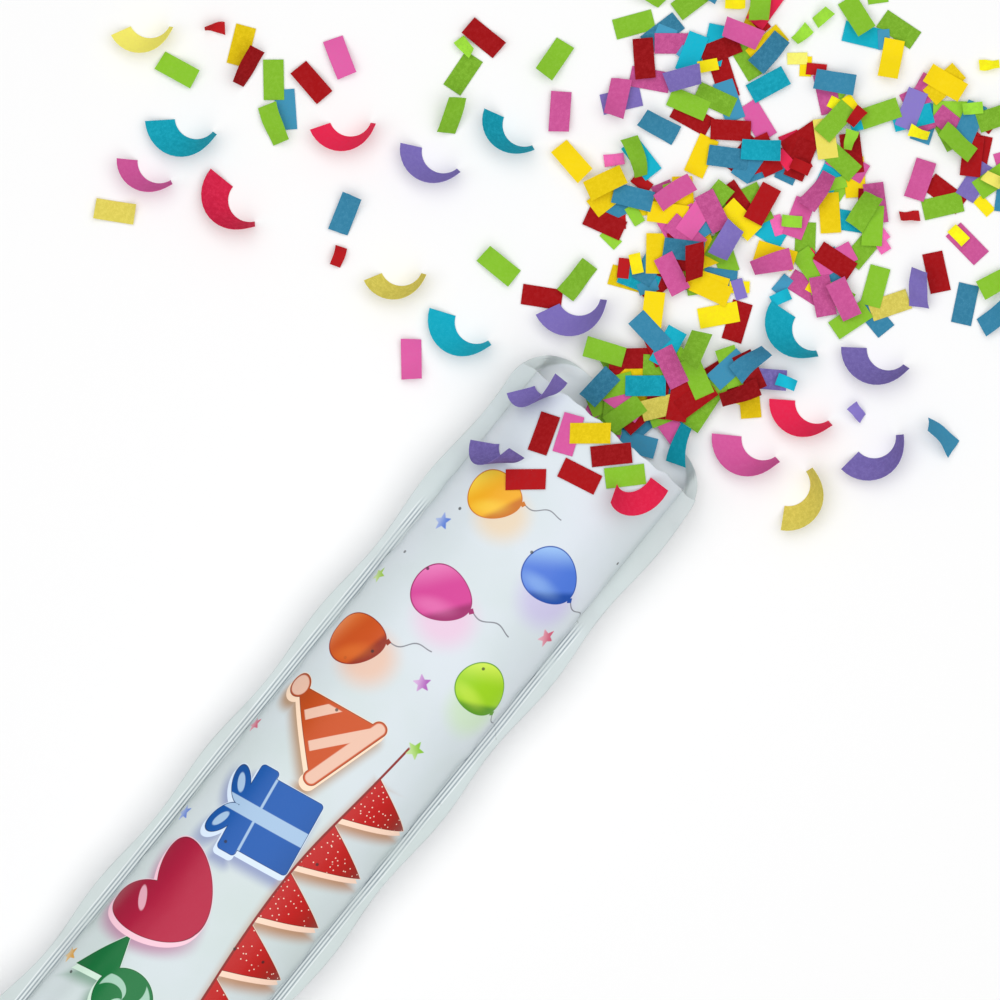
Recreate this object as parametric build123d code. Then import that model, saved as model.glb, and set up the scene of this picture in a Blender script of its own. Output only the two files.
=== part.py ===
from build123d import *
import math
import os
import random

# A self-inflating confetti popper: a heat-sealed film pouch, shown burst at its top end and lying on
# its back, with its acid sachet, soda powder and tissue confetti. Millimetres. +X runs along the
# pouch to its mouth, +Z is up, and the origin is the middle of the flat strip that the pouch lies on.

# Pouch films
POUCH_LENGTH = 300.0
POUCH_WIDTH = 72.0
SIDE_SEAL = 6.0
BOTTOM_SEAL = 8.0
BOTTOM_TAPER = 44.0
BOTTOM_FLARE = 4.0
BOTTOM_CORNER = 5.0
TOP_CORNER = 15.0
FILM = 0.15
SEAL_LINE = 0.04
SEAM_HEIGHT = 13.0
FRONT_RISE = 18.0
REST_STRIP = 26.0
FIN_WAVE = 0.8
FIN_WAVE_LENGTH = 62.0

# Burst mouth: the lips start this far below the top edge and bend at their roots
MOUTH_DEPTH = 32.0
FRONT_LIP = 22.0
FRONT_LIP_LIFT = 3.0
BACK_LIP_SEAM = 6.0
BACK_LIP_STRIP = 40.0
LIP_CLEARANCE = 0.3

# Acid sachet and soda powder
SACHET_LENGTH = 58.0
SACHET_WIDTH = 37.0
SACHET_SEAL = 4.0
SACHET_TAPER = 12.0
SACHET_RISE = 4.2
SACHET_STRIP = 18.0
SACHET_FILM = 0.12
SACHET_SPACING = 20.0
SACHET_CLEARANCE = 0.3
LIQUID_CLEARANCE = 0.1
POWDER_LENGTH = 40.0
POWDER_WIDTH = 23.0
POWDER_HEIGHT = 7.0
POWDER_SPACING = 3.0

# Tissue confetti: bits, small chips and curled strips
PAPER = 0.15
PAPER_GAP = 0.05
BIT_LENGTH = 13.0
BIT_WIDTH = 6.6
CHIP_LENGTH = 6.5
CHIP_WIDTH = 3.8
CURL_RADIUS = 7.0
CURL_ANGLE = 130.0
CURL_WIDTH = 8.0
CURL_LEAN = 40.0
STRAY_GAP = 0.25
FLANK_INSET = 6.0
MOUTH_BITS = 54
MOUTH_REACH = 24.0
SPILL_BITS = 22
SPILL_DEPTH = 5.0
SPILL_REACH = 14.0
SPILL_SIDES = (-21.0, 12.0)
FAN_BITS = 300
CHIP_SHARE = 0.5
FAN_LENGTH = 150.0
FAN_WIDTH = 60.0
FAN_SPREAD = 0.62
FAN_LEFT = 4.0
FAN_EVENNESS = 1.5
FAN_THINNING = 0.85
FAN_GAP = 2.0
SEED = 11

COLOURS = ["dark_red", "rose", "pink", "lime", "yellow", "pale_yellow", "teal", "steel_blue", "purple"]
COLOUR_SHARE = [20, 2, 17, 20, 16, 3, 9, 11, 2]

# Worked-out places
TOP_X = POUCH_LENGTH / 2
BOTTOM_X = -POUCH_LENGTH / 2
SEAL_X = BOTTOM_X + BOTTOM_SEAL
TUBE_X = SEAL_X + BOTTOM_TAPER
ROOT_X = TOP_X - MOUTH_DEPTH
HALF_WIDTH = POUCH_WIDTH / 2
HALF_CHORD = HALF_WIDTH - SIDE_SEAL
FRONT_SEAM = SEAM_HEIGHT + SEAL_LINE / 2
BACK_SEAM = SEAM_HEIGHT - SEAL_LINE / 2
BACK_DROP = BACK_SEAM - FILM
TRIM = FIN_WAVE + BOTTOM_FLARE + 2.0
TAPER_STEPS = 6


def front_section(x, seam, rise, half_chord, half_width, film):
    """Cross-section of a film that arches up between two flat fins."""
    top = seam + film
    outer = half_chord + film
    edges = [
        Line((-half_width, top), (-outer, top)),
        Line((outer, top), (half_width, top)),
        Line((half_width, top), (half_width, seam)),
        Line((half_width, seam), (half_chord, seam)),
        Line((-half_chord, seam), (-half_width, seam)),
        Line((-half_width, seam), (-half_width, top)),
    ]
    if rise:
        edges.append(EllipticalCenterArc((0, top), outer, rise, 0, arc_size=180))
        edges.append(EllipticalCenterArc((0, seam), half_chord, rise, 0, arc_size=180))
    else:
        edges.append(Line((-outer, top), (outer, top)))
        edges.append(Line((-half_chord, seam), (half_chord, seam)))
    return Plane.YZ.offset(x) * make_face(edges)


def back_section(x, seam, drop, half_chord, half_strip, half_width, film):
    """Cross-section of a film that hangs from two flat fins to a flat strip."""
    low = seam - film
    outer = half_chord + film
    edges = [
        Line((-half_width, seam), (-half_chord, seam)),
        Line((-half_strip, seam - drop), (half_strip, seam - drop)),
        Line((half_chord, seam), (half_width, seam)),
        Line((half_width, seam), (half_width, low)),
        Line((half_width, low), (outer, low)),
        Line((half_strip, low - drop), (-half_strip, low - drop)),
        Line((-outer, low), (-half_width, low)),
        Line((-half_width, low), (-half_width, seam)),
    ]
    for level, chord in ((seam, half_chord), (low, outer)):
        if drop:
            sides = chord - half_strip
            edges.append(EllipticalCenterArc((-half_strip, level), sides, drop, 180, arc_size=90))
            edges.append(EllipticalCenterArc((half_strip, level), sides, drop, 270, arc_size=90))
        else:
            edges.append(Line((-chord, level), (-half_strip, level)))
            edges.append(Line((half_strip, level), (chord, level)))
    return Plane.YZ.offset(x) * make_face(edges)


def swell(step, steps):
    """How far a film has left its end seal, from 0 at the seal to 1 at full depth."""
    return math.sin(math.pi / 2 * step / steps)


def tube_end(section, seal_start, seal_end, full):
    """The flat end seal and the taper that swells from it to the full section."""
    width = seal_end - seal_start
    seal = extrude(section(seal_start, 0), amount=abs(width), dir=(width, 0, 0))
    places = [seal_end + (full - seal_end) * i / TAPER_STEPS for i in range(TAPER_STEPS + 1)]
    taper = loft([section(x, swell(i, TAPER_STEPS)) for i, x in enumerate(places)])
    return seal + taper


def pouch_outline():
    """Plan of the pouch, as a tall block: wavy fins that flare to the flat bottom seal."""
    low = BOTTOM_X + BOTTOM_CORNER
    high = TOP_X - TOP_CORNER
    waves = round((high - low) / FIN_WAVE_LENGTH)
    steps = 4 * waves
    top_end = HALF_WIDTH - TOP_CORNER
    bottom_end = HALF_WIDTH + BOTTOM_FLARE - BOTTOM_CORNER
    edges = []
    for side in (1, -1):
        points = []
        for i in range(steps + 1):
            x = low + (high - low) * i / steps
            wave = FIN_WAVE * math.sin(math.tau * waves * i / steps * side)
            near_end = max(0, 1 - (x - low) / (BOTTOM_SEAL + BOTTOM_TAPER))
            points.append((x, side * (HALF_WIDTH + wave + BOTTOM_FLARE * near_end**2)))
        edges.append(Spline(points))
        edges.append(CenterArc((high, side * top_end), TOP_CORNER, 0, side * 90))
        edges.append(CenterArc((low, side * bottom_end), BOTTOM_CORNER, 180, -side * 90))
    edges.append(Line((TOP_X, -top_end), (TOP_X, top_end)))
    edges.append(Line((BOTTOM_X, -bottom_end), (BOTTOM_X, bottom_end)))
    tall = SEAM_HEIGHT + FRONT_RISE + FRONT_LIP_LIFT
    return Pos(0, 0, -FILM) * extrude(make_face(edges), amount=2 * tall)


OUTLINE = pouch_outline()


# Front film: arched over the tube, flat in the bottom seal and the side fins
def front_film(x, part):
    return front_section(x, FRONT_SEAM, FRONT_RISE * part, HALF_CHORD, HALF_WIDTH + TRIM, FILM)


front_tube = extrude(front_film(TUBE_X, 1), amount=ROOT_X - TUBE_X, dir=(1, 0, 0))
front_panel = (tube_end(front_film, BOTTOM_X, SEAL_X, TUBE_X) + front_tube) & OUTLINE


# Back film: the same fins, with the flat strip that the pouch lies on
def back_film(x, part):
    strip = REST_STRIP / 2
    return back_section(x, BACK_SEAM, BACK_DROP * part, HALF_CHORD, strip, HALF_WIDTH + TRIM, FILM)


back_tube = extrude(back_film(TUBE_X, 1), amount=ROOT_X - TUBE_X, dir=(1, 0, 0))
back_panel = (tube_end(back_film, BOTTOM_X, SEAL_X, TUBE_X) + back_tube) & OUTLINE

# Front lip: the burst end of the front film, its fins peeled up off the back film
LIP_X = ROOT_X + LIP_CLEARANCE
LIP_EDGE_X = ROOT_X + FRONT_LIP


def front_peel(x):
    """How far the front film's fins stand off the seam plane at x."""
    part = max(0, x - LIP_X) / (LIP_EDGE_X - LIP_X)
    start = LIP_CLEARANCE if x >= LIP_X else 0
    return start + (FRONT_LIP_LIFT - start) * part


def peeled_film(x):
    peel = front_peel(x)
    wide = HALF_WIDTH + TRIM
    return front_section(x, FRONT_SEAM + peel, FRONT_RISE - peel, HALF_CHORD, wide, FILM)


front_lip = loft([peeled_film(LIP_X), peeled_film(LIP_EDGE_X)], ruled=True) & OUTLINE


# Back lip: the burst end of the back film, opening out flat to the rounded top edge
def opened_film(x, seam, strip):
    return back_section(x, seam, seam - FILM, HALF_CHORD, strip / 2, HALF_WIDTH + TRIM, FILM)


back_lip_root = opened_film(LIP_X, BACK_SEAM, REST_STRIP)
back_lip_edge = opened_film(TOP_X, BACK_LIP_SEAM, BACK_LIP_STRIP)
back_lip = loft([back_lip_root, back_lip_edge], ruled=True) & OUTLINE

# Acid sachet: a small pillow of two clear films on the inside of the back film
SACHET_SEAM = FILM + SACHET_CLEARANCE + SACHET_FILM + SACHET_RISE
SACHET_HALF = SACHET_WIDTH / 2
SACHET_CHORD = SACHET_HALF - SACHET_SEAL
SACHET_START = TUBE_X + POWDER_SPACING + POWDER_LENGTH + SACHET_SPACING
SACHET_ENDS = (SACHET_START, SACHET_START + SACHET_LENGTH)


def sachet_top(x, part):
    seam = SACHET_SEAM + SEAL_LINE
    return front_section(x, seam, SACHET_RISE * part, SACHET_CHORD, SACHET_HALF, SACHET_FILM)


def sachet_base(x, part):
    strip = SACHET_STRIP / 2
    return back_section(x, SACHET_SEAM, SACHET_RISE * part, SACHET_CHORD, strip, SACHET_HALF, SACHET_FILM)


def pillow_film(section):
    """A film with a flat seal and a taper at both ends of its tube."""
    low, high = SACHET_ENDS
    tube = (low + SACHET_SEAL + SACHET_TAPER, high - SACHET_SEAL - SACHET_TAPER)
    film = extrude(section(tube[0], 1), amount=tube[1] - tube[0], dir=(1, 0, 0))
    film += tube_end(section, low, low + SACHET_SEAL, tube[0])
    film += tube_end(section, high, high - SACHET_SEAL, tube[1])
    return film


sachet_upper_film = pillow_film(sachet_top)
sachet_lower_film = pillow_film(sachet_base)


# Acid solution: the liquid that fills the sachet between its films
def liquid_section(x, part):
    depth = SACHET_RISE * part - LIQUID_CLEARANCE
    strip = SACHET_STRIP / 2
    chord = SACHET_CHORD - LIQUID_CLEARANCE
    edges = [
        EllipticalCenterArc((0, SACHET_SEAM), chord, depth, 0, arc_size=180),
        EllipticalCenterArc((-strip, SACHET_SEAM), chord - strip, depth, 180, arc_size=90),
        EllipticalCenterArc((strip, SACHET_SEAM), chord - strip, depth, 270, arc_size=90),
        Line((-strip, SACHET_SEAM - depth), (strip, SACHET_SEAM - depth)),
    ]
    return Plane.YZ.offset(x) * make_face(edges)


def sachet_liquid():
    low, high = SACHET_ENDS
    tube = (low + SACHET_SEAL + SACHET_TAPER, high - SACHET_SEAL - SACHET_TAPER)
    liquid = extrude(liquid_section(tube[0], 1), amount=tube[1] - tube[0], dir=(1, 0, 0))
    for full, outward in ((tube[0], -1), (tube[1], 1)):
        steps = range(1, TAPER_STEPS + 1)
        places = [full + outward * SACHET_TAPER * (1 - i / TAPER_STEPS) for i in steps]
        liquid += loft([liquid_section(x, swell(i, TAPER_STEPS)) for i, x in zip(steps, places)])
    return liquid


acid_solution = sachet_liquid()


# Soda powder: a low heap on the back film, near the bottom of the pouch
def powder_heap():
    start = TUBE_X + POWDER_SPACING
    floor = FILM + PAPER_GAP
    sections = []
    for i in range(1, 2 * TAPER_STEPS):
        bulge = math.sin(math.pi * i / (2 * TAPER_STEPS))
        half = POWDER_WIDTH / 2 * math.sqrt(bulge)
        arc = EllipticalCenterArc((0, floor), half, POWDER_HEIGHT * bulge, 0, arc_size=180)
        face = make_face([arc, Line((-half, floor), (half, floor))])
        sections.append(Plane.YZ.offset(start + POWDER_LENGTH * i / (2 * TAPER_STEPS)) * face)
    return loft(sections)


soda_powder = powder_heap()

# Tissue confetti. Bits are laid one by one, each on top of those already under it.
draw = random.Random(SEED)
laid = []
curl_plans = []
confetti = {colour: [] for colour in COLOURS}


def corners(x, y, yaw, length, width):
    """The four corners of a rectangle turned by yaw degrees."""
    along = Vector(length / 2, 0).rotate(Axis.Z, yaw)
    across = Vector(0, width / 2).rotate(Axis.Z, yaw)
    centre = Vector(x, y)
    ends = (centre + along, centre - along)
    points = [ends[0] + across, ends[1] + across, ends[1] - across, ends[0] - across]
    return [(point.X, point.Y) for point in points]


def apart(a, b):
    """True where a side of one rectangle keeps the two apart."""
    for shape in (a, b):
        for i in (0, 1):
            side_x = shape[i + 1][0] - shape[i][0]
            side_y = shape[i + 1][1] - shape[i][1]
            on_a = [side_x * x + side_y * y for x, y in a]
            on_b = [side_x * x + side_y * y for x, y in b]
            if max(on_a) < min(on_b) or max(on_b) < min(on_a):
                return True
    return False


def film_under(x, y):
    """Height of the back film's inside, or of the surface beside the pouch."""
    if x > TOP_X or abs(y) > HALF_WIDTH + TRIM:
        return 0
    opened = max(0, x - LIP_X) / (TOP_X - LIP_X)
    seam = BACK_SEAM + (BACK_LIP_SEAM - BACK_SEAM) * opened
    strip = REST_STRIP / 2 + (BACK_LIP_STRIP - REST_STRIP) / 2 * opened
    side = max(0, abs(y) - strip) / (HALF_CHORD - strip)
    return FILM + (seam - FILM) * (1 - math.sqrt(max(0, 1 - side * side)))


def resting_height(shape):
    """Where a piece with this plan comes to lie."""
    under = [film_under(x, y) for x, y in shape]
    under += [top for other, top in laid if not apart(shape, other)]
    return max(under) + PAPER_GAP


def flat_bit(length=BIT_LENGTH, width=BIT_WIDTH):
    """A flat bit of tissue with its underside at z = 0."""
    return Pos(0, 0, PAPER / 2) * Box(length, width, PAPER)


CURL_HALF = math.radians(CURL_ANGLE / 2)
CURL_OUT = CURL_WIDTH * math.sin(math.radians(CURL_LEAN))
CURL_UP = CURL_WIDTH * math.cos(math.radians(CURL_LEAN))
CURL_RIM = CURL_RADIUS + CURL_OUT + PAPER
CURL_INNER = CURL_RADIUS * math.cos(CURL_HALF)


def curled_strip():
    """A strip curled to part of a cone, standing on its small edge over the middle of its plan."""
    foot = CURL_RADIUS
    slant = [(foot, 0), (foot + PAPER, 0), (CURL_RIM, CURL_UP), (CURL_RIM - PAPER, CURL_UP)]
    profile = Plane.XZ * make_face(Polyline(slant, close=True))
    strip = Rot(0, 0, -90 - CURL_ANGLE / 2) * revolve(profile, Axis.Z, revolution_arc=CURL_ANGLE)
    return Pos(0, (CURL_RIM + CURL_INNER) / 2, 0) * strip


# Each form of confetti: its plan and how high it stands
FORMS = {
    "bit": (BIT_LENGTH, BIT_WIDTH, PAPER),
    "chip": (CHIP_LENGTH, CHIP_WIDTH, PAPER),
    "curl": (2 * CURL_RIM * math.sin(CURL_HALF), CURL_RIM - CURL_INNER, CURL_UP),
}


def lay(colour, form, x, y, yaw):
    """Put one piece of confetti down where it comes to rest."""
    length, width, height = FORMS[form]
    shape = corners(x, y, yaw, length, width)
    z = resting_height(shape)
    laid.append((shape, z + height))
    if form == "curl":
        curl_plans.append(shape)
    piece = curled_strip() if form == "curl" else flat_bit(length, width)
    confetti[colour].append(Pos(x, y, z) * Rot(0, 0, yaw) * piece)


def any_colour():
    return draw.choices(COLOURS, COLOUR_SHARE)[0]


# The charge that is still in the mouth, on the back film's flat strip
room = (REST_STRIP - BIT_WIDTH) / 2
for _ in range(MOUTH_BITS):
    x = draw.uniform(ROOT_X - MOUTH_REACH, TOP_X + BIT_LENGTH)
    lay(any_colour(), "bit", x, draw.uniform(-room, room), draw.uniform(0, 180))

# The heap on the back lip and just in front of it
for _ in range(SPILL_BITS):
    x = TOP_X + draw.uniform(-SPILL_DEPTH, SPILL_REACH)
    lay(any_colour(), "bit", x, draw.uniform(*SPILL_SIDES), draw.uniform(0, 180))

# Bits that flew wide: colour, form, distance ahead of the top edge and out from the centre line, turn
LEFT_STRAYS = [
    ("teal", "curl", -17, 55, 272),
    ("pink", "bit", -32, 64, 40),
    ("pale_yellow", "curl", -16, 81, 309),
    ("dark_red", "chip", -21, 103, 20),
    ("steel_blue", "bit", -9, 110, 17),
    ("purple", "curl", 19, 97, 278),
    ("teal", "curl", 42, 84, 264),
    ("lime", "bit", 37, 103, 20),
    ("lime", "bit", 50, 109, 5),
    ("lime", "chip", 57, 114, 80),
    ("dark_red", "bit", 63, 111, 90),
    ("rose", "curl", 11, 124, 309),
    ("dark_red", "bit", 17, 145, 80),
    ("pink", "bit", 29, 143, 60),
    ("steel_blue", "bit", 5, 146, 43),
    ("lime", "bit", 10, 155, 40),
    ("lime", "bit", -1, 146, 60),
    ("yellow", "bit", 12, 170, 25),
    ("dark_red", "bit", 8, 164, 10),
    ("dark_red", "chip", 11, 180, 130),
    ("lime", "bit", -7, 181, 100),
    ("pale_yellow", "curl", -5, 194, 309),
    ("teal", "curl", -22, 164, 291),
    ("rose", "curl", -32, 139, 251),
    ("pink", "curl", -41, 166, 278),
    ("pale_yellow", "bit", -55, 168, 120),
    ("lime", "bit", 72, 89, 5),
    ("lime", "bit", 9, 61, 90),
    ("dark_red", "bit", 10, 44, 120),
    ("purple", "curl", 13, 30, 315),
    ("yellow", "bit", 50, 64, 80),
    ("pink", "bit", 60, 77, 35),
]
RIGHT_STRAYS = [
    ("pink", "curl", 12, 41, 278),
    ("rose", "curl", 32, 47, 278),
    ("pale_yellow", "curl", 14, 63, 7),
    ("purple", "curl", 39, 74, 333),
    ("steel_blue", "bit", 56, 84, 85),
    ("purple", "chip", 45, 58, 80),
    ("purple", "curl", 60, 55, 285),
    ("teal", "curl", 50, 28, 251),
]
for side, strays in ((1, LEFT_STRAYS), (-1, RIGHT_STRAYS)):
    for colour, form, ahead, aside, yaw in strays:
        lay(colour, form, TOP_X + ahead, side * aside, yaw)

# The fan that was thrown out of the mouth, wider and with more chips further away, clear of the curls
for _ in range(FAN_BITS):
    along = FAN_LENGTH * draw.random() ** FAN_THINNING
    half = FAN_WIDTH / 2 + FAN_SPREAD * along
    across = FAN_LEFT + half * (2 * draw.betavariate(FAN_EVENNESS, FAN_EVENNESS) - 1)
    form = "chip" if draw.random() < CHIP_SHARE * along / FAN_LENGTH else "bit"
    colour = any_colour()
    x = TOP_X + BIT_LENGTH / 2 + FAN_GAP + along
    yaw = draw.uniform(0, 180)
    plan = corners(x, across, yaw, *FORMS[form][:2])
    if all(apart(plan, curl) for curl in curl_plans):
        lay(colour, form, x, across, yaw)


# Bits that fell back onto the pouch, flat against the front film's outside
def front_height(x, y):
    peel = front_peel(x)
    side = y / (HALF_CHORD + FILM)
    return FRONT_SEAM + peel + FILM + (FRONT_RISE - peel) * math.sqrt(1 - side * side)


def on_front(piece, x, y, yaw, over=0):
    """A piece resting on the front film at (x, y), turned by yaw, over so many others."""
    z = front_height(x, y)
    rise_x = front_height(x + FILM, y) - z
    rise_y = front_height(x, y + FILM) - z
    seat = Plane((x, y, z), x_dir=(FILM, 0, rise_x), z_dir=(-rise_x, -rise_y, FILM))
    return seat * Pos(0, 0, STRAY_GAP + over * (PAPER + STRAY_GAP)) * Rot(0, 0, yaw) * piece


FLANK = HALF_CHORD - FLANK_INSET
stray_dark_red = on_front(flat_bit(), ROOT_X - 7, 11, 129)
stray_purple = on_front(curled_strip(), ROOT_X - 12, FLANK, 278)
lip_dark_red = [
    on_front(flat_bit(), ROOT_X + 4.6, -1.5, 102),
    on_front(flat_bit(), ROOT_X + 8, 15.7, 20),
    on_front(flat_bit(), ROOT_X + 16.2, -5, 135),
]
lip_pink = on_front(flat_bit(), ROOT_X + 12.7, 9.6, 22)
lip_lime = on_front(flat_bit(), ROOT_X + 13.7, -12.6, 135)
lip_yellow = on_front(flat_bit(), ROOT_X + 17.3, 4.4, 129, over=1)
lip_rose = on_front(curled_strip(), ROOT_X + 12, -FLANK, 309)
lip_purple = on_front(curled_strip(), ROOT_X + 13, FLANK, 307)

parts = {
    "front_panel": front_panel,
    "back_panel": back_panel,
    "front_lip": front_lip,
    "back_lip": back_lip,
    "sachet_upper_film": sachet_upper_film,
    "sachet_lower_film": sachet_lower_film,
    "acid_solution": acid_solution,
    "soda_powder": soda_powder,
    "stray_dark_red": stray_dark_red,
    "stray_purple": stray_purple,
    "lip_dark_red": Compound(children=lip_dark_red),
    "lip_pink": lip_pink,
    "lip_lime": lip_lime,
    "lip_yellow": lip_yellow,
    "lip_rose": lip_rose,
    "lip_purple": lip_purple,
}
for colour, bits in confetti.items():
    parts["confetti_" + colour] = Compound(children=bits)

os.makedirs("parts", exist_ok=True)
for name, shape in parts.items():
    export_step(shape, "parts/" + name + ".step")
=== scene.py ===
import functools
import math
import random

import bmesh
import bpy
import numpy as np
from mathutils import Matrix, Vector, noise


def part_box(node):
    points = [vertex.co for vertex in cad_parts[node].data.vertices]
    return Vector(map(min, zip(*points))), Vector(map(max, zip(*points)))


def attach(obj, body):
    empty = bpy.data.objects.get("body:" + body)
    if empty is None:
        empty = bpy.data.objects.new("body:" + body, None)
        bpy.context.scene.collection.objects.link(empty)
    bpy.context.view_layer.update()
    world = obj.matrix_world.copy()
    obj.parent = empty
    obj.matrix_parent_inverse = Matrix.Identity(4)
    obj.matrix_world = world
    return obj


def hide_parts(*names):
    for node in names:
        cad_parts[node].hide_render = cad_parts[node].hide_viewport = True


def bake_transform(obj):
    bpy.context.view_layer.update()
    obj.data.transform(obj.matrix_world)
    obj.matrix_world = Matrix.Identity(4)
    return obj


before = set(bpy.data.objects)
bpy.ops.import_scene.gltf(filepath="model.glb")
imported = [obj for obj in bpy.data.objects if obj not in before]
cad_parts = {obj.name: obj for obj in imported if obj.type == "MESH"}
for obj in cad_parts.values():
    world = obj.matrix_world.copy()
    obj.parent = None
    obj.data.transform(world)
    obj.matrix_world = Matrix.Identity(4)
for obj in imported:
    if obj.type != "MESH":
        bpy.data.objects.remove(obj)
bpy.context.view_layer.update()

# Studio: a pale floor that the popper lies on, one broad soft lamp straight above it and an even room
# light. The camera looks straight down through a long lens, with the mouth towards the upper right.
VIEW_CENTRE = (0.1008, 0.0134)
VIEW_WIDTH = 0.320
VIEW_TURN = -51
VIEW_LEVEL = 0.012
CAMERA_HEIGHT = 2.4
SENSOR_MM = 36.0
FLOOR_SIZE = 20
FLOOR_GAP = 0.0002
FLOOR_PAINT = (0.95, 0.95, 0.95, 1)
LAMP_HEIGHT = 1.1
LAMP_SIZE = 1.8
LAMP_WATTS = 15.5
ROOM_LIGHT = 0.36


def srgb(red, green, blue):
    """A colour as it is seen, in the linear values that the nodes take."""
    def linear(value):
        return value / 12.92 if value <= 0.04045 else ((value + 0.055) / 1.055) ** 2.4
    return (linear(red), linear(green), linear(blue), 1)


def new_material(name, **settings):
    """A material with its node tree and its Principled shader, whose sockets take these settings."""
    material = bpy.data.materials.new(name)
    material.use_nodes = True
    tree = material.node_tree
    shader = tree.nodes["Principled BSDF"]
    for socket, value in settings.items():
        shader.inputs[socket.replace("_", " ")].default_value = value
    return material, tree, shader


scene = bpy.context.scene
scene.view_settings.view_transform = "Standard"
bpy.ops.object.select_all(action="DESELECT")
bpy.ops.mesh.primitive_plane_add(size=FLOOR_SIZE, location=(0, 0, -FLOOR_GAP))
floor = bpy.context.object
floor.name = "floor"
floor_paint = new_material("floor_paint", Base_Color=FLOOR_PAINT, Roughness=1, Specular_IOR_Level=0)[0]
floor.data.materials.append(floor_paint)

room = bpy.data.worlds.new("room")
room.use_nodes = True
room_light = room.node_tree.nodes["Background"].inputs
room_light["Color"].default_value = (1, 1, 1, 1)
room_light["Strength"].default_value = ROOM_LIGHT
scene.world = room

bpy.ops.object.light_add(type="AREA", location=(*VIEW_CENTRE, LAMP_HEIGHT))
lamp = bpy.context.object
lamp.data.size = LAMP_SIZE
lamp.data.energy = LAMP_WATTS

bpy.ops.object.camera_add(
    location=(*VIEW_CENTRE, CAMERA_HEIGHT), rotation=(0, 0, math.radians(VIEW_TURN))
)
scene.camera = bpy.context.object
scene.camera.data.sensor_width = SENSOR_MM
scene.camera.data.lens = SENSOR_MM * (CAMERA_HEIGHT - VIEW_LEVEL) / VIEW_WIDTH

# Front film: the printed plastic front of the pouch, arched by the gas inside it. Its edges are
# heat-sealed to the back film in two side fins with pressed lines and in a flat, pleated bottom seal.
# The burst top end is the front lip, which stands up off the back film.
panel_low, panel_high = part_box("front_panel")
BOTTOM, ROOT = panel_low.x, panel_high.x
SEAM, CROWN = panel_low.z, panel_high.z
FRONT_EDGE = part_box("front_lip")[1].x
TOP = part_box("back_lip")[1].x
FILM = 0.00015
HALF_WIDTH = 0.036
HALF_CHORD = 0.030
BOTTOM_SEAL = 0.008
BOTTOM_TAPER = 0.044
BOTTOM_FLARE = panel_high.y - HALF_WIDTH
BOTTOM_CORNER = 0.005
TOP_CORNER = 0.015
FIN_WAVE = 0.0008
FIN_WAVES = 5
FRONT_LIP_LIFT = 0.003
ROW_SPACING = 0.0012
BOTTOM_CORNER_ROWS = 9
TOP_CORNER_ROWS = 16
ARCH_COLUMNS = 60
FIN_COLUMNS = 20
# Waves in the film: seed, lengths and height
FIN_SLOW = (21, (0.071, 0.043, 0.029), 0.0016)
FIN_QUICK = (31, (0.0131, 0.0093), 0.0004)
PUCKERS = (41, (0.0171, 0.0103, 0.0313), 0.0006)
PLEATS = (51, (0.0113, 0.0171, 0.0079), 0.0011)
LEFT_BILLOW = (61, (0.083, 0.047), 0.0003)
RIGHT_BILLOW = (62, (0.061, 0.037), 0.0003)
LIP_FLUTTER = (71, (0.031, 0.019), 0.0005)
LIP_RAG = (72, (0.0131, 0.0067, 0.0293), 0.0007)
FIN_CALM = 0.03
CREASE_END = 0.108
CREASE_FADE = 0.03
PUCKER_REACH = 0.13
PLEAT_REACH = 0.013
PLEAT_FAN = 0.1 / 0.03
PLEAT_FADE = 6
LEFT_SLANT = 0.7
RIGHT_SLANT = -0.9
BILLOW_FADE = 3
PRESSED_LINES = (0.0007, 0.0018, 0.0029)
PRESSED_WIDTH = 0.00026
PRESSED_RISE = 0.00022
PRESSED_END = 0.088
PRESSED_FADE = 0.006
FIN_FOLD = -0.017
FOLD_WIDTH = 0.0012
FOLD_RISE = 0.0005
FOLD_FADE = 5
LIP_DROOP = 0.0005


def smooth(share):
    """An even step from 0 to 1 with soft ends."""
    share = np.clip(share, 0, 1)
    return share * share * (3 - 2 * share)


def ripples(wave, places):
    """Waves of several lengths added up, the same at each run."""
    seed, lengths, height = wave
    draw = random.Random(seed)
    total = 0
    for length in lengths:
        total = total + np.sin(2 * np.pi * places / length + draw.uniform(0, 2 * np.pi))
    return height * total / len(lengths)


def side_ripples(wave, side, places):
    """Waves of several lengths that differ between the pouch's two sides."""
    seed, lengths, height = wave
    return np.where(side < 0, ripples(wave, places), ripples((seed + 1, lengths, height), places))


def half_width(x, side):
    """Half the pouch's width at x: wavy fins, a flared bottom end and rounded corners."""
    low, high = BOTTOM + BOTTOM_CORNER, TOP - TOP_CORNER
    wave = FIN_WAVE * np.sin(2 * np.pi * FIN_WAVES * np.clip((x - low) / (high - low), 0, 1) * side)
    near_end = np.clip(1 - (x - low) / (BOTTOM_SEAL + BOTTOM_TAPER), 0, 1)
    past_top = np.clip((x - high) / TOP_CORNER, 0, 1)
    past_bottom = np.clip((low - x) / BOTTOM_CORNER, 0, 1)
    cut = TOP_CORNER * (1 - np.sqrt(1 - past_top**2))
    cut = cut + BOTTOM_CORNER * (1 - np.sqrt(1 - past_bottom**2))
    return HALF_WIDTH + wave + BOTTOM_FLARE * near_end**2 - cut


def fin_sway(x, side, fin):
    """How far the sealed fins buckle up and down, alike for both films."""
    calm = smooth((x - BOTTOM) / FIN_CALM)
    return calm * fin * (side_ripples(FIN_SLOW, side, x) + side_ripples(FIN_QUICK, side, x))


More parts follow.
